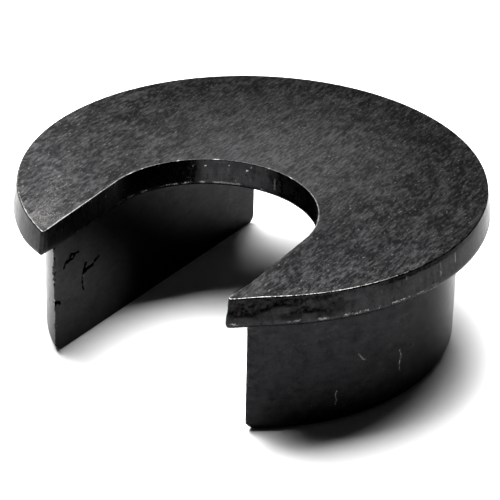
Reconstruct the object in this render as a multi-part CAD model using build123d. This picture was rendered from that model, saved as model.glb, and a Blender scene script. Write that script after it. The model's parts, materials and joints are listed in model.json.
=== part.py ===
from build123d import *
import os

# A flanged slip-on collar. A thick C-shaped flange plate, punched from sheet, has two solid
# D-shaped legs joined flat against its underside. The legs are what is left of a round hub
# after a straight gap is cut through it, so a shaft can enter the collar from the side.
#
# Frame: +Z up along the axis shared by the flange and the hub. z = 0 is the underside of the
# plate, which is the face that seats. The slot opens towards -Y.

# Flange plate
FLANGE_DIAMETER = 78.2  # of the rim carried down to z = 0, before its edge is rolled
RIM_LEAN = 0.8  # the punched rim is this much smaller in radius at the top
PLATE_THICKNESS = 5.0
TOP_EDGE_BREAK = 0.3  # chamfer round the top of the rim
ROLLED_EDGE_RADIUS = 1.0  # every lower edge of the plate, rolled over by the punch
TIP_RADIUS = 0.5  # the two upright corners at the mouth of the slot

# Slot in the plate, for the shaft
SLOT_WIDTH = 35.0
SLOT_CENTRE_Y = -13.7  # centre of the slot's round end

# Legs, under the plate
HUB_DIAMETER = 68.0
GAP_WIDTH = 38.0  # between the flat faces of the two legs
LEG_LENGTH = 22.0
LEG_TURN = -3.8  # degrees about Z: the legs stand slightly out of line with the slot
FOOT_RADIUS = 1.5  # on the round side, at the foot of each leg

MARGIN = 10.0  # how far cutting tools run past what they cut


def slot_cutter():
    """The U-shaped prism that the slot takes out of the plate."""
    reach = FLANGE_DIAMETER / 2 + MARGIN
    depth = PLATE_THICKNESS + 2 * MARGIN
    middle_z = PLATE_THICKNESS / 2
    round_end = Pos(0, SLOT_CENTRE_Y, middle_z) * Cylinder(SLOT_WIDTH / 2, depth)
    mouth = Pos(0, SLOT_CENTRE_Y - reach / 2, middle_z) * Box(SLOT_WIDTH, reach, depth)
    return round_end + mouth


def flange_plate():
    """The C-shaped plate: leaning rim, U slot, broken top edge, rolled lower edges."""
    rim = FLANGE_DIAMETER / 2
    disc = Pos(0, 0, PLATE_THICKNESS / 2) * Cone(rim, rim - RIM_LEAN, PLATE_THICKNESS)
    rim_top = disc.edges().sort_by(Axis.Z)[-1]
    plate = chamfer(rim_top, TOP_EDGE_BREAK) - slot_cutter()
    mouth_corners = plate.edges().filter_by(is_mouth_corner)
    plate = fillet(mouth_corners, TIP_RADIUS)
    lower_edges = plate.faces().sort_by(Axis.Z)[0].edges()
    return fillet(lower_edges, ROLLED_EDGE_RADIUS)


def is_mouth_corner(edge):
    """True for the upright edges where the slot's walls run out through the rim."""
    box = edge.bounding_box()
    upright = box.size.Z > PLATE_THICKNESS / 2
    at_mouth = box.max.Y < SLOT_CENTRE_Y - SLOT_WIDTH / 2
    return upright and at_mouth


def leg(side):
    """One D-shaped leg. side is -1 for the left leg and +1 for the right one."""
    hub_radius = HUB_DIAMETER / 2
    hub = Pos(0, 0, -LEG_LENGTH / 2) * Cylinder(hub_radius, LEG_LENGTH)
    block_width = hub_radius + MARGIN
    block_x = side * (GAP_WIDTH / 2 + block_width / 2)
    block = Pos(block_x, 0, -LEG_LENGTH / 2) * Box(block_width, 2 * block_width, 2 * LEG_LENGTH)
    segment = hub & block
    foot_arc = segment.faces().sort_by(Axis.Z)[0].edges().filter_by(GeomType.CIRCLE)
    return Rot(0, 0, LEG_TURN) * fillet(foot_arc, FOOT_RADIUS)


parts = {
    "flange_plate": flange_plate(),
    "left_leg": leg(-1),
    "right_leg": leg(1),
}

os.makedirs("parts", exist_ok=True)
for name, solid in parts.items():
    solid.label = name
    export_step(solid, f"parts/{name}.step")
    print(name, "volume", round(solid.volume), "mm3, size", solid.bounding_box().size)
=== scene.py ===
# %% [markdown]
# # A slip-on flanged collar in black-oxide steel
# The real part is a thick C-shaped washer with two solid legs joined flat under it, so that it
# can be slipped onto a shaft from the side. The CAD frame gives the plain shapes. This script
# builds the pieces again as fine meshes, because the eye knows blackened steel by its small
# faults: a burr along the punched edge, a torn band on the rim, nicks, and grinding lines.

# %% Load the CAD frame
import json
import math

import bpy
import numpy as np
from mathutils import Matrix, Vector, noise


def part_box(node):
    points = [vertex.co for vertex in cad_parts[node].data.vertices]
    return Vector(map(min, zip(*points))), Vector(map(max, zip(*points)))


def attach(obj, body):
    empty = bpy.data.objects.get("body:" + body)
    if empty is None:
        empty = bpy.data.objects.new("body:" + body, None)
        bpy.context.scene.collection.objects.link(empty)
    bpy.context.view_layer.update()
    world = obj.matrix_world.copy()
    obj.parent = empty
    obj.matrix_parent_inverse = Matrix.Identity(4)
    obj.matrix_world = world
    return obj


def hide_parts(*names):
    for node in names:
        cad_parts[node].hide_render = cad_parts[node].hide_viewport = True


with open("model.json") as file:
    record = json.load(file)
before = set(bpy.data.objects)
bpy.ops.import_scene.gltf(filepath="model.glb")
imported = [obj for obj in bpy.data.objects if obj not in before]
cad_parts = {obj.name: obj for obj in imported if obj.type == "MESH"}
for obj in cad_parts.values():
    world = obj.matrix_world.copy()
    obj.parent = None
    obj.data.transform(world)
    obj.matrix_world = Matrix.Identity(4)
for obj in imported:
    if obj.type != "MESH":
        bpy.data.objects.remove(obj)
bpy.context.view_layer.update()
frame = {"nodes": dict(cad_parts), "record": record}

# %% [markdown]
# ## Sizes
# The main sizes come from the frame, so that the meshes land on the CAD solids. The few that
# the frame doesn't hold, such as the lean of the rim, are named where they are first needed.
# The mesh code works in millimetres, which reads better for a part of this size, and one
# factor turns them to Blender's metres at the end. The width of the gap isn't stored as a
# number, so it is measured: it is how close the right leg's flat face comes to the axis.

# %% Read the sizes
MM = 0.001
mounts = {mount["name"]: mount for mount in frame["record"]["mounts"]}
SLOT_RADIUS = mounts["shaft_seat"]["dims"]["r_mm"]
SLOT_Y = mounts["shaft_seat"]["pos_m"][1] / MM
HUB_RADIUS = mounts["hub_pilot"]["dims"]["r_mm"]
gap_axis = mounts["leg_gap"]["axis"]
LEG_TURN = math.atan2(gap_axis[0], -gap_axis[1])
PLATE_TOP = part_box("flange_plate")[1].z / MM
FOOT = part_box("right_leg")[0].z / MM
across_gap = Vector((math.cos(LEG_TURN), math.sin(LEG_TURN), 0))
HALF_GAP = min(across_gap @ v.co for v in frame["nodes"]["right_leg"].data.vertices) / MM
print("slot radius", SLOT_RADIUS, "hub radius", HUB_RADIUS, "half gap", round(HALF_GAP, 2))
print("plate top", round(PLATE_TOP, 2), "feet", round(FOOT, 2), "turn", math.degrees(LEG_TURN))

# %% [markdown]
# ## Outlines made of arcs and lines
# Seen from above, the plate is one closed outline: the rim, a small rounded corner at each
# tip, two slot walls and the slot's round end. A leg is simpler: an arc, two corners and a
# flat. If an outline is drawn again at each height with slightly different radii, and the
# copies are joined with quads, the result is a solid whose edges can be rounded, broken or
# rolled as the real ones are. That is a loft. It needs the same number of points on every
# outline, so each stretch keeps its own fixed count.

# %% Draw arcs and lines
SPACING = 0.2  # mm between neighbouring points, fine enough for a nick


def steps(length):
    """How many points a stretch of this length gets."""
    return max(3, round(length / SPACING))


def arc(centre, radius, start, end, count):
    """Points on an arc, without its last one, so that stretches can follow each other."""
    angles = np.linspace(start, end, count, endpoint=False)
    return np.stack([centre[0] + radius * np.cos(angles), centre[1] + radius * np.sin(angles)], 1)


def line(start, end, count):
    """Points on a straight line, without its last one."""
    share = np.linspace(0, 1, count, endpoint=False)[:, None]
    return np.array(start) * (1 - share) + np.array(end) * share


# %% Draw the plate's outline
RIM_RADIUS = 39.1  # at the underside, before the edge is rolled
RIM_LEAN = 0.8  # the rim is this much smaller at the top
TIP_RADIUS = 0.5
RIM_SWEEP = 306  # degrees, about as far as the rim goes round
WALL_LENGTH = 19.5  # about the length of one slot wall
TIP_STEPS = 10
RIM_STEPS = steps(RIM_RADIUS * math.radians(RIM_SWEEP))
WALL_STEPS = steps(WALL_LENGTH)
ROUND_STEPS = steps(SLOT_RADIUS * math.pi)
PLATE_COUNTS = [RIM_STEPS, TIP_STEPS, WALL_STEPS, ROUND_STEPS, WALL_STEPS, TIP_STEPS]


def plate_outline(rim, half_slot, tip):
    """One level of the plate, anticlockwise from the right tip."""
    tip_x = half_slot + tip
    tip_y = -math.sqrt((rim - tip) ** 2 - tip_x ** 2)
    start = math.atan2(tip_y, tip_x)
    return np.concatenate([
        arc((0, 0), rim, start, math.pi - start, RIM_STEPS),
        arc((-tip_x, tip_y), tip, math.pi - start, math.tau, TIP_STEPS),
        line((-half_slot, tip_y), (-half_slot, SLOT_Y), WALL_STEPS),
        arc((0, SLOT_Y), half_slot, math.pi, 0, ROUND_STEPS),
        line((half_slot, SLOT_Y), (half_slot, tip_y), WALL_STEPS),
        arc((tip_x, tip_y), tip, math.pi, math.tau + start, TIP_STEPS),
    ])


print("points on the plate's outline:", sum(PLATE_COUNTS))

# %% [markdown]
# ## From outlines to a mesh
# A mesh needs vertices and faces. The vertices are the outlines one above the other, and each
# face joins two neighbours on one level to the same two on the next. The first and the last
# outline are closed with one many-sided face each. The normals look outwards because the
# outlines run anticlockwise and the levels go up.

# %% Join the levels
def loft_faces(level_count, point_count):
    """Quads between the levels, then the bottom and the top as single faces."""
    around = np.arange(point_count)
    onward = (around + 1) % point_count
    faces = []
    for level in range(level_count - 1):
        low, high = level * point_count, (level + 1) * point_count
        quads = np.stack([low + around, low + onward, high + onward, high + around], 1)
        faces += quads.tolist()
    last = (level_count - 1) * point_count
    return faces + [around[::-1].tolist(), (last + around).tolist()]


def make_piece(name, points, faces, finishes, finish_of_face, marks):
    """A mesh object in metres, with its finishes and its per-vertex marks."""
    mesh = bpy.data.meshes.new(name)
    mesh.from_pydata((points * MM).tolist(), [], faces)
    for material in finishes:
        mesh.materials.append(material)
    mesh.polygons.foreach_set("material_index", finish_of_face)
    mesh.polygons.foreach_set("use_smooth", [True] * len(faces))
    mesh.set_sharp_from_angle(angle=math.radians(38))
    for mark, values in marks.items():
        layer = mesh.attributes.new(mark, "FLOAT", "POINT")
        layer.data.foreach_set("value", np.asarray(values, np.float32))
    mesh.update()
    piece = bpy.data.objects.new(name, mesh)
    bpy.context.scene.collection.objects.link(piece)
    print(name, len(points), "vertices", len(faces), "faces")
    return piece


# %% [markdown]
# ## Chance with a seed
# Wear is irregular, and Blender's noise gives an irregular value that is the same each time
# for the same place. Sampling it at each vertex makes the wear part of the mesh, so it shows
# in the outline, not only in the shading.

# %% Sample noise
def roughly(points, size, layers=3, shift=0.0):
    """Noise from about -1 to 1 at each point. size is the width of its patches in mm."""
    place = np.asarray(points, float) / size + shift
    return np.array([noise.fractal(Vector(p), 0.8, 2.1, layers) for p in place])


def ramp(values, low, high):
    """0 below low, 1 above high and a smooth step between."""
    share = np.clip((values - low) / (high - low), 0, 1)
    return share * share * (3 - 2 * share)


# %% [markdown]
# ## Paths of scratches
# A scratch or a gouge is drawn as a path of a few straight runs on a face rolled out flat. All
# it needs is the distance from each vertex to that path: the nearer, the stronger the mark.

# %% Measure the distance to a path
def near_path(places, path):
    """Distance from each (along, height) place to a path of straight runs."""
    best = np.full(len(places), np.inf)
    for start, end in zip(np.array(path[:-1]), np.array(path[1:])):
        run = end - start
        share = np.clip((places - start) @ run / (run @ run), 0, 1)
        best = np.minimum(best, np.linalg.norm(places - start - share[:, None] * run, axis=1))
    return best


# %% [markdown]
# ## Colours
# Colours are written as hex values, as a colour picker shows them. Blender mixes light in
# linear values, so one function converts them.

# %% Convert a hex colour
def linear(hex_colour):
    """sRGB hex to linear RGBA."""
    channels = [int(hex_colour[i:i + 2], 16) / 255 for i in (1, 3, 5)]
    return [c / 12.92 if c < 0.04045 else ((c + 0.055) / 1.055) ** 2.4 for c in channels] + [1]


# %% [markdown]
# ## Black-oxide steel
# Black oxide is a thin layer of magnetite grown on the steel in a hot salt bath and sealed
# with oil. It hides the metal's colour but not its surface, so a ground face still shows its
# grinding lines and a torn one stays rough. Where the part rubs, the layer goes first from the
# sharp edges and bare grey steel shows. So one recipe makes every finish here: a dark metal
# with Metallic at 1 and the low reflectance of the oxide as its base colour, which gives dark
# faces that still turn bright at a glancing angle. Each cell below adds one stage of it.

# %% Add a node
def add(tree, kind, inputs=(), **settings):
    """A node with its settings, and its inputs as values or as links from other nodes."""
    made = tree.nodes.new(kind)
    for name, value in settings.items():
        setattr(made, name, value)
    for name, value in dict(inputs).items():
        if isinstance(value, bpy.types.NodeSocket):
            tree.links.new(value, made.inputs[name])
        else:
            made.inputs[name].default_value = value
    return made


# %% Lay out the patterns
def surface_patterns(tree, place, streak, grain):
    """Noise for each thing that varies over the face, with the size of its patches in mm."""
    sizes = {  # along X, Y and Z, then how many finer layers ride on it
        "streaks": (streak, 5.0),
        "clouds": ((2.6, 5.0, 5.0), 4.0),
        "grit": ([0.3 + grain * min(length, 1.6) for length in streak], 2.0),
        "scuffs": ([length * 0.7 for length in streak], 3.0),
        "dust": ((0.22, 0.22, 0.22), 1.0),  # the border of every bare patch
    }
    patterns = {}
    for name, (size, detail) in sizes.items():
        scaled = add(tree, "ShaderNodeMapping", {
            "Vector": place, "Scale": [1 / (length * MM) for length in size]})
        noise_node = add(tree, "ShaderNodeTexNoise", {
            "Vector": scaled.outputs["Vector"], "Scale": 1.0, "Detail": detail, "Roughness": 0.6})
        patterns[name] = noise_node.outputs["Fac"]
    return patterns


# %% Tone the layer
def layer_tone(tree, patterns):
    """How thin the oxide is: mostly the streaks, and a little of the wide clouds."""
    cloudy = add(tree, "ShaderNodeMath", {0: patterns["clouds"], 1: 0.35}, operation="MULTIPLY")
    tone = add(tree, "ShaderNodeMath", {
        0: patterns["streaks"], 1: 0.65, 2: cloudy.outputs[0]}, operation="MULTIPLY_ADD")
    return tone.outputs[0]


def layer_colour(tree, tone, spread, oxide, lighter_tone):
    """The layer's colour between its darkest and its lightest. spread holds their tones."""
    share = add(tree, "ShaderNodeMapRange", {
        "Value": tone, "From Min": spread[0], "From Max": spread[1]})
    colour = add(tree, "ShaderNodeMix", {
        "Factor": share.outputs["Result"], "A": linear(oxide), "B": linear(lighter_tone)},
        data_type="RGBA")
    return colour.outputs["Result"]


# %% Paint the sheen on the top as a paler round patch
def paint_sheen(tree, place, tone, colour, centre, inner, outer, painted_sheen):
    """A round patch of painted sheen, paler, fading from inner to outer. Sizes in mm."""
    apart = add(tree, "ShaderNodeVectorMath", {0: place, 1: [c * MM for c in centre]},
                operation="DISTANCE")
    near = add(tree, "ShaderNodeMapRange", {
        "Value": apart.outputs["Value"], "From Min": outer * MM, "From Max": inner * MM})
    thin = add(tree, "ShaderNodeMapRange", {"Value": tone, "From Min": 0.3, "From Max": 0.75})
    share = add(tree, "ShaderNodeMath", {
        0: near.outputs["Result"], 1: thin.outputs["Result"]}, operation="MULTIPLY")
    lighter_tone = add(tree, "ShaderNodeMix", {
        "Factor": share.outputs[0], "A": colour, "B": linear(painted_sheen)}, data_type="RGBA")
    return lighter_tone.outputs["Result"]


# %% Darken the pits, the torn metal and the painted shade
def darken(tree, patterns, colour, pits):
    """Small pits all over, and ragged near-black where torn metal and painted shade are marked.
    """
    grit_and_clouds = add(tree, "ShaderNodeMath", {
        0: patterns["clouds"], 1: 0.3, 2: patterns["grit"]}, operation="MULTIPLY_ADD")
    pitted = add(tree, "ShaderNodeMapRange", {
        "Value": grit_and_clouds.outputs[0], "From Min": 0.6, "From Max": 0.48, "To Max": pits})
    colour = add(tree, "ShaderNodeMix", {
        "Factor": pitted.outputs["Result"], "A": colour, "B": linear("#060606")},
        data_type="RGBA").outputs["Result"]
    mark = add(tree, "ShaderNodeAttribute", attribute_name="dark_mark").outputs["Fac"]
    ragged = add(tree, "ShaderNodeMapRange", {
        "Value": patterns["grit"], "From Min": 0.3, "From Max": 0.55})
    share = add(tree, "ShaderNodeMath", {0: mark, 1: ragged.outputs["Result"]},
                operation="MULTIPLY")
    colour = add(tree, "ShaderNodeMix", {
        "Factor": share.outputs[0], "A": colour, "B": linear("#040404")}, data_type="RGBA")
    return colour.outputs["Result"]


# %% Bare the specks and the edges
BARE_STEEL = "#8f8d8a"


def lay_bare(tree, patterns, colour, flecks):
    """Bare steel in tiny specks, and along the edges that the mesh marks as bare."""
    speck = add(tree, "ShaderNodeMath", {0: patterns["scuffs"], 1: patterns["grit"]},
                operation="MULTIPLY")
    speck = add(tree, "ShaderNodeMapRange", {
        "Value": speck.outputs[0], "From Min": 0.33, "From Max": 0.46, "To Max": flecks})
    mark = add(tree, "ShaderNodeAttribute", attribute_name="bare").outputs["Fac"]
    worn = add(tree, "ShaderNodeMath", {0: mark, 1: patterns["dust"]}, operation="ADD")
    edge = add(tree, "ShaderNodeMapRange", {
        "Value": worn.outputs[0], "From Min": 0.7, "From Max": 1.5})
    share = add(tree, "ShaderNodeMath", {
        0: speck.outputs["Result"], 1: edge.outputs["Result"]}, operation="MAXIMUM")
    colour = add(tree, "ShaderNodeMix", {
        "Factor": share.outputs[0], "A": colour, "B": linear(BARE_STEEL)}, data_type="RGBA")
    return colour.outputs["Result"]


# %% Put one finish together
def black_oxide(name, streak, oxide, lighter_tone, roughness, groove, flecks, pits, glance,
                grain=0.25, spread=(0.36, 0.64), painted_sheen=None):
    """Black-oxide steel. streak is the size in mm of one streak along X, Y and Z, and groove
    its depth in mm. oxide and rubbed are the darkest and the lightest tone of the layer,
    roughness is its range, flecks and pits say how strongly they show, from 0 to 1, and
    glance tints its shine at glancing angles, which the porous layer holds back."""
    material = bpy.data.materials.new(name)
    material.use_nodes = True
    tree = material.node_tree
    tree.nodes.clear()
    place = add(tree, "ShaderNodeTexCoord").outputs["Object"]
    patterns = surface_patterns(tree, place, streak, grain)
    tone = layer_tone(tree, patterns)
    colour = layer_colour(tree, tone, spread, oxide, lighter_tone)
    # A paler round patch of painted sheen goes on where one is given.
    if painted_sheen:
        colour = paint_sheen(tree, place, tone, colour, **painted_sheen)
    colour = darken(tree, patterns, colour, pits)
    colour = lay_bare(tree, patterns, colour, flecks)
    rough = add(tree, "ShaderNodeMapRange", {
        "Value": patterns["streaks"], "From Min": 0.3, "From Max": 0.7,
        "To Min": roughness[0], "To Max": roughness[1]})
    raised = add(tree, "ShaderNodeBump", {
        "Height": patterns["streaks"], "Distance": groove * MM, "Strength": 1.0})
    steel = add(tree, "ShaderNodeBsdfPrincipled", {
        "Base Color": colour, "Metallic": 1.0, "Specular Tint": linear(glance),
        "Roughness": rough.outputs["Result"], "Normal": raised.outputs["Normal"]})
    add(tree, "ShaderNodeOutputMaterial", {"Surface": steel.outputs["BSDF"]})
    print(name, len(tree.nodes), "nodes")
    return material


# %% [markdown]
# ## Five finishes, one for each way a face was cut
# The top was ground flat with the wheel running front to back, and real grinding lines are
# some 0.05 mm apart. That is too fine to show, so they are drawn 0.3 mm apart and 1.5 mm long,
# as pale lines on a darker ground. The rim and the slot were punched: upright shear lines, no
# grinding. The legs' round sides were turned on a lathe, which leaves faint rings, their flat
# faces were sawn, and the feet and the underside are plain and a little rougher, so they look
# flat grey where the others shine. On the walls and the legs the lines are coarser than real
# ones too, for the same reason.

# %% Make the finishes
# The top's paler patch around the slot is painted sheen.
ground_top = black_oxide(
    "ground_black_oxide_steel", streak=(0.32, 1.5, 1.5), oxide="#131314", lighter_tone="#4e4e4f",
    roughness=(0.28, 0.3), groove=0.006, flecks=0.45, pits=0.0, glance="#cccccc", grain=0.1,
    spread=(0.46, 0.76),
    painted_sheen={"centre": (-2, 9, PLATE_TOP), "inner": 5, "outer": 27, "painted_sheen": "#555556"})
punched_wall = black_oxide(
    "punched_black_oxide_steel", streak=(1.2, 1.2, 2.4), oxide="#19191a", lighter_tone="#272728",
    roughness=(0.22, 0.34), groove=0.006, flecks=0.04, pits=0.5, glance="#cecece")
turned_side = black_oxide(
    "turned_black_oxide_steel", streak=(2.0, 2.0, 1.2), oxide="#141415", lighter_tone="#1e1e1f",
    roughness=(0.22, 0.28), groove=0.003, flecks=0.02, pits=0.3, glance="#c4c4c4")
sawn_face = black_oxide(
    "sawn_black_oxide_steel", streak=(2.0, 2.0, 0.8), oxide="#212122", lighter_tone="#2d2d2e",
    roughness=(0.18, 0.25), groove=0.003, flecks=0.02, pits=0.3, glance="#c8c8c8")
plain_face = black_oxide(
    "plain_black_oxide_steel", streak=(1.5, 1.5, 1.5), oxide="#1a1a1b", lighter_tone="#2a2a2b",
    roughness=(0.35, 0.5), groove=0.006, flecks=0.05, pits=0.4, glance="#c8c8c8")

# %% [markdown]
# ## The flange plate
# The plate is punched from 5 mm sheet in one blow. The punch leaves three things that the eye
# reads at once: the lower edges are rolled over into a smooth radius, the upper part of the
# wall is torn rather than cut, and a thin burr stands along the top edge. The levels below
# follow that, from the underside up: the rolled edge, the wall, the broken top edge, and a few
# more inside the top face that hold the worn border.

# %% List the plate's levels
ROLL = 1.0  # radius of the rolled lower edge
TOP_BREAK = 0.2  # height of the broken top edge
ROLL_LEVELS = 9
WALL_LEVELS = 17
BROKEN_EDGE = [(0.2, 0.0), (0.08, 0.03), (0.02, 0.09), (0.0, 0.16)]  # (below the top, inwards)
TOP_BORDER = [0.24, 0.36, 0.55, 0.9, 1.6, 3.0]  # distance in from the rim
SLOT_BREAK = 0.4  # how much the slot's top edge is broken, as a share of the rim's
LEAST_TIP = 0.15  # a tip's corner keeps this radius on the levels inside the top face


def plate_levels():
    """(height, rim radius, half slot, tip radius) for each level, from the underside up."""
    levels = []
    for turn in np.linspace(math.pi / 2, 0, ROLL_LEVELS):
        inwards = ROLL * (1 - math.cos(turn))
        height = ROLL * (1 - math.sin(turn))
        levels.append((height, inwards, inwards))
    for height in np.linspace(ROLL, PLATE_TOP - TOP_BREAK, WALL_LEVELS)[1:-1]:
        levels.append((height, 0.0, 0.0))
    for below, inwards in BROKEN_EDGE:
        levels.append((PLATE_TOP - below, inwards, inwards * SLOT_BREAK))
    for inwards in TOP_BORDER:
        levels.append((PLATE_TOP, inwards, inwards - 0.1))
    return [(height, RIM_RADIUS - RIM_LEAN * height / PLATE_TOP - rim_in, SLOT_RADIUS + slot_in,
             max(TIP_RADIUS - rim_in, LEAST_TIP)) for height, rim_in, slot_in in levels]


# %% Stack the plate's outlines
levels = plate_levels()
outlines = [plate_outline(rim, half_slot, tip) for _, rim, half_slot, tip in levels]
heights = [np.full((len(outline), 1), level[0]) for outline, level in zip(outlines, levels)]
grid = np.array([np.hstack(pair) for pair in zip(outlines, heights)])
print("plate levels:", len(levels), "points:", grid.shape)

# %% [markdown]
# ## Where on the plate
# A fault belongs to a place: the rim or the slot, the wall or the edge, one tip or the other.
# So each point first learns where it is. The values below run from 0 to 1, and multiplying two
# of them means both at once, which is a simple way to paint with numbers.

# %% Describe every point of the plate
def bell(values, centre, spread):
    """1 at the centre, and nearly 0 from two spreads away."""
    return np.exp(-((values - centre) / spread) ** 2)


plate_points = grid.reshape(-1, 3)
x, y, height = plate_points.T
angle = np.degrees(np.arctan2(y, x))
on_rim = np.hypot(x, y) > RIM_RADIUS - 2
below_top = 1 - ramp(height, PLATE_TOP - 0.3, PLATE_TOP - 0.1)
on_wall = ramp(height, 0.6, 1.2) * below_top
in_slot = ~on_rim * below_top
slot_side = np.hypot(x, np.maximum(y - SLOT_Y, 0)) < SLOT_RADIUS + 1.2
near_right_tip = ramp(-angle, 26, 46) * ramp(x, 10, 18)
print("points on the rim:", int(on_rim.sum()), "on the slot's side:", int(slot_side.sum()))

# %% [markdown]
# ## The torn band
# A punch cuts only the first part of the sheet, and the rest breaks. The break is rough and
# starts at a wavy line about 1.5 mm below the top. It comes down further, and goes deeper,
# beside the right tip, where the strip of metal was narrow and gave way.

# %% Tear the upper wall
ragged = roughly(plate_points * [1, 1, 2.2], 3.2, 4)
torn_line = PLATE_TOP - 1.5 - 2.2 * near_right_tip
torn_line += 1.1 * roughly(plate_points * [1, 1, 0], 5.0, 3, 4.0)
dark_mark = on_wall * ramp(height - torn_line, -0.6, 0.9)
tear_depth = dark_mark * (0.02 * (0.6 + ragged) + 0.06 * near_right_tip * ramp(ragged, -0.2, 0.5))
print("deepest tear", round(float(tear_depth.max()), 3), "mm")

# %% [markdown]
# ## The burr
# Where the punch leaves the sheet it drags up a thin lip. It is only some 0.03 mm high, but it
# catches the light, so without it the edge looks drawn rather than made. It is moved as
# geometry, along the outline's own outward direction and upwards.

# %% Find the outward direction
def outward(grid):
    """The horizontal outward direction at each point of each level."""
    ahead = np.roll(grid, -1, 1)[..., :2] - np.roll(grid, 1, 1)[..., :2]
    length = np.linalg.norm(ahead, axis=2, keepdims=True)
    turned = np.stack([ahead[..., 1], -ahead[..., 0]], 2) / np.maximum(length, 1e-9)
    return np.concatenate([turned, np.zeros_like(length)], 2)


# %% Raise the burr
BURR_OUT, BURR_UP = 0.03, 0.025
SET_DOWN = 0.004  # the whole plate sits this much lower, so mostly the burr stands above the CAD
level_index = np.repeat(np.arange(len(levels)), grid.shape[1])
edge_level = ROLL_LEVELS + WALL_LEVELS - 2 + len(BROKEN_EDGE) - 1
burr_level = edge_level + np.where(on_rim, 0, 0.6)
on_edge = bell(level_index, burr_level, np.where(on_rim, 0.95, 1.2))
burr = on_edge * np.clip(0.5 + roughly(plate_points, 0.7, 3, 9.0), 0, 1)
moved = plate_points + outward(grid).reshape(-1, 3) * (BURR_OUT * burr - tear_depth)[:, None]
moved[:, 2] += BURR_UP * burr - SET_DOWN
print("highest burr", round(float(burr.max()) * BURR_UP, 3), "mm")

# %% [markdown]
# ## Two bent tips
# The tips are the weakest part of the plate and have taken knocks. The right one was drawn
# forward by more than a millimetre, and the left one is lifted on its underside. Each move
# fades out over a few millimetres, so the rim stays one smooth curve.

# %% Bend the tips
TIP_Y = -33.9  # about where the slot's walls run out through the rim


def bend(side, reach, move, share=1.0):
    """How far points near one tip go. side is 1 for the right tip and -1 for the left."""
    from_tip = np.hypot(x - side * SLOT_RADIUS, y - TIP_Y)
    return (bell(from_tip, 0, reach) * share)[:, None] * np.array(move)


moved += bend(1, 3.0, (-0.54, -1.44, 0))
moved += bend(-1, 4.0, (-0.2, 0.5, 0.45), share=1 - ramp(height, 0, 1.8))
print("right tip moved", round(float(np.abs(moved - plate_points).max()), 2), "mm")

# %% [markdown]
# ## Bright wear
# Handling rubs the oxide off whatever stands out. On this plate that is the burr, the rolled
# edge under the front of the rim, and the slot's lower lip. The values go to the mesh as a mark
# named bare, and the finish turns them into steel with a ragged border.

# %% Wear the top edge
# The right part of the rim and the slot's right wall are rubbed less, so their edge is duller.
# The last line makes the top a little paler beside the left tip.
chipped = ramp(roughly(plate_points, 0.45, 3, 31.0), -0.5, 0.3)
dull_rim = 0.75 * on_rim * ramp(angle, -27, -12) * (1 - ramp(angle, 70, 100))
dull_slot = 0.8 * ~on_rim * (x > 0) * (1 - ramp(y, SLOT_Y, SLOT_Y + 4))
bare = (0.36 + 0.4 * chipped) * on_edge * np.where(on_rim, 1, 1.35)
bare *= 1 - np.maximum(dull_rim, dull_slot)
bare += 0.25 * bell(np.hypot(x + 20.5, y + 30), 0, 5) * (height > PLATE_TOP - 0.1)
print("worn points after the top edge:", int((bare > 0.5).sum()))

# %% Wear the lower edges
# The rolled edge is bright in patches towards the right tip, and the slot's lower lip on the
# left half of its round end.
roll_line = 0.92 + 0.12 * roughly(plate_points, 1.5, 2, 15.0)
front_rim = ramp(-angle, -5, 30) * (x > 17)
roll_patches = ramp(roughly(plate_points, 1.6, 4, 21.0), -0.15, 0.35)
bare += 0.6 * bell(height, roll_line, 0.16) * front_rim * roll_patches
slot_lip = bell(height, 0.75, 0.2) * slot_side * (y > SLOT_Y) * (x < 0)
bare += 0.55 * slot_lip * ramp(roughly(plate_points, 2.0, 3, 41.0), -0.3, 0.1)
print("worn points after the lower edges:", int((bare > 0.5).sum()))

# %% [markdown]
# ## Scratches and dust
# A scratch on an upright wall is a short bright line. It is easier to place on the wall rolled
# out flat, with the distance round the rim across and the height upwards. A few pale dust
# specks lie in the slot.

# %% Scratch the walls
# One upright scratch runs down the slot's round end, and the others are on the rim.
RIM_SCRATCHES = [(-10.0, 2.0, 4.0), (-4.0, 2.5, 3.9), (-21.2, 3.8, 4.3)]  # (degrees, from, to)
SCRATCH = 0.13  # half the width of a scratch, wider than a real one so that it shows
slot_scratch = bell(x, 2.0, 0.14) * slot_side * (y > 0)
bare += 0.75 * slot_scratch * ramp(height, 1.2, 1.6) * (1 - ramp(height, 3.2, 3.8))
unrolled = np.stack([np.radians(angle) * RIM_RADIUS, height], 1)
for degrees, low, high in RIM_SCRATCHES:
    along = math.radians(degrees) * RIM_RADIUS
    gap = near_path(unrolled, [(along, low), (along + 0.1, high)])
    bare += 0.45 * bell(gap, 0, SCRATCH) * on_rim
print("scratches on the rim:", len(RIM_SCRATCHES))

# %% Scatter the dust
dust = ramp(roughly(plate_points, 0.55, 1, 51.0), 0.62, 0.78) * in_slot * (x < 0)
bare += 0.9 * dust
print("bare share of the plate's vertices", round(float((bare > 0.5).mean()), 3))

# %% [markdown]
# ## Black places
# The opposite of bright wear is black: the rough torn band, a thin line of painted shadow right
# under the burr, and painted shade at the two ends of the slot wall, where little light reaches.
# They share a second mark, which the finish turns near-black.

# %% Blacken the torn metal and paint the shade
# The painted shadow under the burr shows only on the right of the rim, over some 30 degrees.
shadow_under_burr = ramp(height, 4.1, 4.4) * on_wall * on_rim * (1 - ramp(np.abs(angle + 10), 14, 22))
# Painted shade at both ends of the slot wall.
shade_at_slot_ends = np.maximum(1 - ramp(x, -15.5, -9), ramp(x, 12, 16.5)) * in_slot
torn_and_shade = dark_mark * ramp(ragged, -0.6, 0.2) * (0.3 + 0.7 * near_right_tip)
torn_and_shade = np.maximum.reduce([torn_and_shade, 1.6 * shadow_under_burr, 4 * shade_at_slot_ends])
print("black share of the plate's vertices", round(float((torn_and_shade > 0.5).mean()), 3))

# %% [markdown]
# ## The plate as one piece
# The faces come out of the loft level by level, so the finish of each is known by counting: the
# wall's quads first, then those of the top border, then the underside and the top itself.

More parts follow.
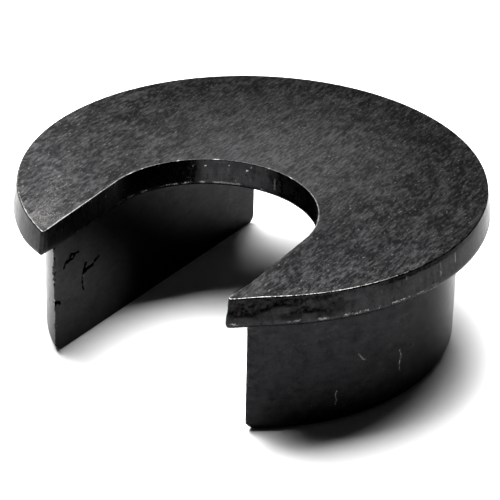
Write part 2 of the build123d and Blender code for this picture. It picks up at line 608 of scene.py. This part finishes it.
# %% Build the plate
GROUND, PUNCHED, PLAIN = 0, 1, 2  # places in the plate's list of finishes
around_plate = grid.shape[1]
wall_quads = edge_level * around_plate
top_quads = (len(levels) - 1 - edge_level) * around_plate
plate = make_piece(
    "flange_plate_punched", moved, loft_faces(len(levels), around_plate),
    [ground_top, punched_wall, plain_face],
    [PUNCHED] * wall_quads + [GROUND] * top_quads + [PLAIN, GROUND],
    {"bare": bare, "dark_mark": torn_and_shade})
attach(plate, "root")
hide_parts("flange_plate")

# %% [markdown]
# ## The legs
# Each leg is the piece of a turned hub that is left beside a sawn gap: a flat face towards the
# gap, a round side, and a foot whose outer edge was rounded on the lathe before the gap was
# cut. So the foot's rounding belongs to the round side alone, and the outline of each level
# is the same flat cut through a slightly smaller circle.

# %% Draw a leg's outline
CORNER = 0.03  # radius of the upright corners, where saw cut and round side meet
CORNER_STEPS = 4
HALF_CHORD = math.sqrt(HUB_RADIUS ** 2 - HALF_GAP ** 2)
SIDE_STEPS = steps(2 * HUB_RADIUS * math.asin(HALF_CHORD / HUB_RADIUS))
FLAT_STEPS = steps(2 * HALF_CHORD)


def leg_outline(hub, flat_in=0.0):
    """One level of the right leg before it is turned into place, anticlockwise."""
    flat_x = HALF_GAP + flat_in
    corner_x = flat_x + CORNER
    corner_y = math.sqrt((hub - CORNER) ** 2 - corner_x ** 2)
    swing = math.atan2(corner_y, corner_x)
    return np.concatenate([
        arc((0, 0), hub, -swing, swing, SIDE_STEPS),
        arc((corner_x, corner_y), CORNER, swing, math.pi, CORNER_STEPS),
        line((flat_x, corner_y), (flat_x, -corner_y), FLAT_STEPS),
        arc((corner_x, -corner_y), CORNER, math.pi, math.tau - swing, CORNER_STEPS),
    ])


# %% List a leg's levels
FOOT_RADIUS = 1.5  # on the round side
FOOT_BREAK = 0.12  # on the flat side, where a file took the saw's edge off
FOOT_LEVELS = 9
LEG_SIDE_LEVELS = steps(-FOOT - FOOT_RADIUS)


def leg_grid():
    """Every point of the right leg, level by level, from the foot up."""
    rings = []
    for turn in np.linspace(math.pi / 2, 0, FOOT_LEVELS):
        inwards = FOOT_RADIUS * (1 - math.cos(turn))
        height = FOOT + FOOT_RADIUS * (1 - math.sin(turn))
        flat_in = max(FOOT_BREAK - (height - FOOT), 0)
        rings.append((leg_outline(HUB_RADIUS - inwards, flat_in), height))
    for height in np.linspace(FOOT + FOOT_RADIUS, 0, LEG_SIDE_LEVELS)[1:]:
        rings.append((leg_outline(HUB_RADIUS), height))
    return np.array([np.hstack([ring, np.full((len(ring), 1), z)]) for ring, z in rings])


# %% Stack the leg's outlines
leg_shape = leg_grid()
leg_levels, around_leg, _ = leg_shape.shape
flat_from = SIDE_STEPS + CORNER_STEPS
column = np.tile(np.arange(around_leg), leg_levels)
on_flat = (column >= flat_from) & (column <= flat_from + FLAT_STEPS)
print("leg levels and points:", leg_shape.shape)

# %% [markdown]
# ## Nicks and gouges
# The sawn faces are not perfect. The left one has two torn gouges near its front edge, a pit
# and a hairline, and its front corner is chipped. A groove is a short path on the flat face:
# each vertex near it is pushed in, more the closer it is. The paths are written as (distance
# along the face from its middle, height), in mm.

# %% List the gouges
GOUGES = [  # (path, half width, depth)
    ([(-25.6, -7.2), (-24.9, -6.1), (-24.5, -6.5), (-23.7, -5.4), (-21.9, -5.6)], 0.17, 0.45),
    ([(-24.4, -6.2), (-23.2, -6.3), (-22.5, -5.6)], 0.15, 0.4),
    ([(-20.6, -13.4), (-20.9, -11.6), (-20.6, -9.8), (-19.8, -8.6)], 0.2, 0.45),
    ([(-20.5, -10.0), (-19.2, -9.8), (-18.3, -9.9)], 0.26, 0.4),
    ([(-18.3, -9.9), (-17.5, -9.2), (-16.6, -9.0)], 0.15, 0.35),
    ([(-28.0, -12.4), (-26.8, -13.0)], 0.24, 0.5),
    ([(-26.0, -12.9), (-24.7, -12.5), (-23.4, -12.2)], 0.14, 0.06),
]

# %% Cut the flat face
def gouge_depth(points, places, gouges, seed):
    """How far the gouges push each point in. Noise makes their borders ragged."""
    sink = np.zeros(len(points))
    for path, half_width, depth in gouges:
        gap = near_path(places, path) + 0.13 * roughly(points, 0.5, 2, seed)
        sink = np.maximum(sink, depth * (1 - ramp(gap, half_width * 0.4, half_width)))
    return sink


def cut_flat(points, along, gouges, seed):
    """Gouge, wave and chip the flat face in place. Gives back the gouges and the chips."""
    sink = gouge_depth(points, np.stack([along, points[:, 2]], 1), gouges, seed)
    chips = ramp(roughly(points, 1.2, 3, seed + 5), 0.1, 0.4) * bell(along, -HALF_CHORD, 0.45)
    wave = 0.03 * roughly(points, 14, 2, seed)
    points[:, 0] += np.where(on_flat, sink + wave.clip(0) + 0.35 * chips, 0)
    return sink, chips


# %% Round the front corner of the foot
CORNER_LIFT = 0.8


def round_front_foot(points, along):
    """Lift the foot's sharp front corner in place, so that it looks blunted by knocks."""
    from_corner = np.hypot(points[:, 0] - HALF_GAP, along + HALF_CHORD)
    low = 1 - ramp(points[:, 2] - FOOT, 0, 1.8)
    points[:, 2] += CORNER_LIFT * bell(from_corner, 0, CORNER_LIFT) * low


# %% [markdown]
# ## Wear on a leg
# The upright corners and the foot's edge are rubbed bare in patches. The right leg's round side
# has three scratches, placed on the side rolled out flat: (distance round the hub from its
# middle, height), in mm. The left leg's corners are the more worn.

# %% Wear a leg
SCRATCHES = [
    [(-18.6, -15.9), (-18.9, -16.8), (-18.6, -17.6), (-18.8, -18.5)],
    [(-6.6, -12.4), (-6.2, -13.6), (-6.5, -14.8), (-6.3, -16.4)],
    [(-15.0, -10.2), (-14.6, -10.8), (-13.8, -11.6)],
]


def leg_bare(points, corner_wear, scratches, seed):
    """The bare mark of a leg: its upright corners, its foot's edge and its scratches."""
    bare = corner_wear * bell(np.abs(points[:, 1]), HALF_CHORD, 0.2)
    bare *= ramp(roughly(points, 1.5, 3, seed + 8), -0.4, 0.4)
    bare = np.maximum(bare, 0.7 * (on_flat & (points[:, 2] < FOOT + 0.2)))
    unrolled = np.stack([np.arctan2(points[:, 1], points[:, 0]) * HUB_RADIUS, points[:, 2]], 1)
    for path in scratches:
        gap = near_path(unrolled, path)
        bare = np.maximum(bare, 0.5 * bell(gap, 0, SCRATCH) * ~on_flat)
    return bare


# %% Build a leg
def build_leg(name, node, half_turn, gouges, scratches, corner_wear, painted_back_shade, seed):
    """A leg in its place. half_turn is 0 for the right leg and pi for the left one."""
    points = leg_shape.reshape(-1, 3).copy()
    along = points[:, 1] * (-1 if half_turn else 1)
    sink, chips = cut_flat(points, along, gouges, seed)
    round_front_foot(points, along)
    bare = leg_bare(points, corner_wear, scratches, seed)
    # Gouges and chips go near-black; the last term is painted shade towards the back.
    dark_mark = ramp(sink, 0.02, 0.15) + 0.6 * chips + painted_back_shade * ramp(along, 4, 20)
    turned = Matrix.Rotation(LEG_TURN + half_turn, 3, "Z")
    side_then_flat = np.where(np.arange(around_leg) < SIDE_STEPS, 0, 1)
    finish_of_face = np.tile(side_then_flat, leg_levels - 1).tolist() + [2, 2]
    piece = make_piece(
        name, points @ np.array(turned).T, loft_faces(leg_levels, around_leg),
        [turned_side, sawn_face, plain_face], finish_of_face, {"bare": bare, "dark_mark": dark_mark})
    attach(piece, "root")
    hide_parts(node)
    return piece


# %% Build both legs
# The left leg's 0.5 is the strength of its painted shade at the back of the flat face.
build_leg("right_leg_sawn", "right_leg", 0.0, [], SCRATCHES, 0.3, 0.0, 2.0)
build_leg("left_leg_sawn", "left_leg", math.pi, GOUGES, [], 0.55, 0.5, 7.0)

# %% [markdown]
# ## Floor
# The collar stands on matt white paper, which has no pattern and no shine of its own. The sheet
# is far wider than the camera sees, so its edges never show.

# %% Make the paper
paper = bpy.data.materials.new("white_paper")
paper.use_nodes = True
paper_finish = paper.node_tree.nodes["Principled BSDF"].inputs
paper_finish["Base Color"].default_value = linear("#f4f4f4")
paper_finish["Roughness"].default_value = 0.9
print("made", paper.name)

# %% Lay the floor
FLOOR_REACH = 3.0  # metres from the middle to each side
floor_corners = [(-1, -1), (1, -1), (1, 1), (-1, 1)]
floor_mesh = bpy.data.meshes.new("floor")
floor_mesh.from_pydata(
    [(east * FLOOR_REACH, north * FLOOR_REACH, FOOT * MM) for east, north in floor_corners],
    [], [(0, 1, 2, 3)])
floor_mesh.materials.append(paper)
floor = bpy.data.objects.new("floor", floor_mesh)
bpy.context.scene.collection.objects.link(floor)
print("floor at", round(FOOT, 2), "mm")

# %% [markdown]
# ## Light
# Black metal shows what it reflects, so its light is made of things to reflect. The surroundings
# are brighter behind and to the left, which draws the outline of the rim and the legs. A wide
# softbox overhead whitens the floor and gives the top its sheen. A small panel at the back left
# adds a glint near the left tip. The gap between the legs stays dark, as it should.

# %% Surround the scene
def studio_world(behind, in_front, away):
    """Even surroundings that are bright where away points and dim on the other side."""
    world = bpy.data.worlds.new("studio")
    world.use_nodes = True
    tree = world.node_tree
    facing = add(tree, "ShaderNodeTexCoord").outputs["Generated"]
    facing = add(tree, "ShaderNodeVectorMath", {0: facing, 1: away}, operation="DOT_PRODUCT")
    glow = add(tree, "ShaderNodeMapRange", {
        "Value": facing.outputs["Value"], "From Min": -0.6, "From Max": 0.6,
        "To Min": in_front, "To Max": behind}, interpolation_type="SMOOTHSTEP")
    tree.links.new(glow.outputs["Result"], tree.nodes["Background"].inputs["Strength"])
    bpy.context.scene.world = world
    print("surroundings from", in_front, "to", behind)


studio_world(behind=0.45, in_front=0.21, away=(-0.75, 0.66, 0))


# %% Hang the lights
def soft_light(name, place, target, size, power):
    """A square area light that looks at a point. All in metres and watts."""
    lamp = bpy.data.lights.new(name, "AREA")
    lamp.size = size
    lamp.energy = power
    holder = bpy.data.objects.new(name, lamp)
    holder.location = place
    holder.rotation_euler = (Vector(target) - Vector(place)).to_track_quat("-Z", "Y").to_euler()
    bpy.context.scene.collection.objects.link(holder)
    return holder


soft_light("overhead_softbox", (-0.15, 0.11, 0.48), (0, 0, 0), 0.5, 14.0)
soft_light("back_left_panel", (-0.18, 0.14, 0.165), (-0.025, -0.03, 0), 0.09, 0.18)
bpy.context.scene.view_settings.view_transform = "Standard"

# %% [markdown]
# ## Camera
# A long lens from about 0.4 m, looking down by some 30 degrees from the front right. From there
# the open slot, the flat side of one leg and the round side of the other all show at once.

# %% Aim the camera
AZIMUTH, ELEVATION, TILT = (math.radians(a) for a in (30.76, 29.6, 1.31))
back = Vector((math.sin(AZIMUTH) * math.cos(ELEVATION),
               -math.cos(AZIMUTH) * math.cos(ELEVATION), math.sin(ELEVATION)))
level_right = Vector((math.cos(AZIMUTH), math.sin(AZIMUTH), 0))
level_up = back.cross(level_right)
right = level_right * math.cos(TILT) + level_up * math.sin(TILT)
up = level_up * math.cos(TILT) - level_right * math.sin(TILT)
print("camera looks from", [round(part, 3) for part in back])

# %% Place the camera
DISTANCE = 0.3927  # from the collar's origin
ASIDE, ABOVE = -0.00035, -0.0076  # shifts that centre the collar in view
FOCAL_LENGTH, SENSOR_WIDTH = 172.6, 36  # mm
lens = bpy.data.cameras.new("camera")
lens.sensor_width = SENSOR_WIDTH
lens.lens = FOCAL_LENGTH
lens.clip_start = 0.01
camera = bpy.data.objects.new("camera", lens)
camera.matrix_world = Matrix.Translation(back * DISTANCE + right * ASIDE + up * ABOVE) @ (
    Matrix((right, up, back)).transposed().to_4x4())
bpy.context.scene.collection.objects.link(camera)
bpy.context.scene.camera = camera
print("camera", DISTANCE, "m away with a", FOCAL_LENGTH, "mm lens")
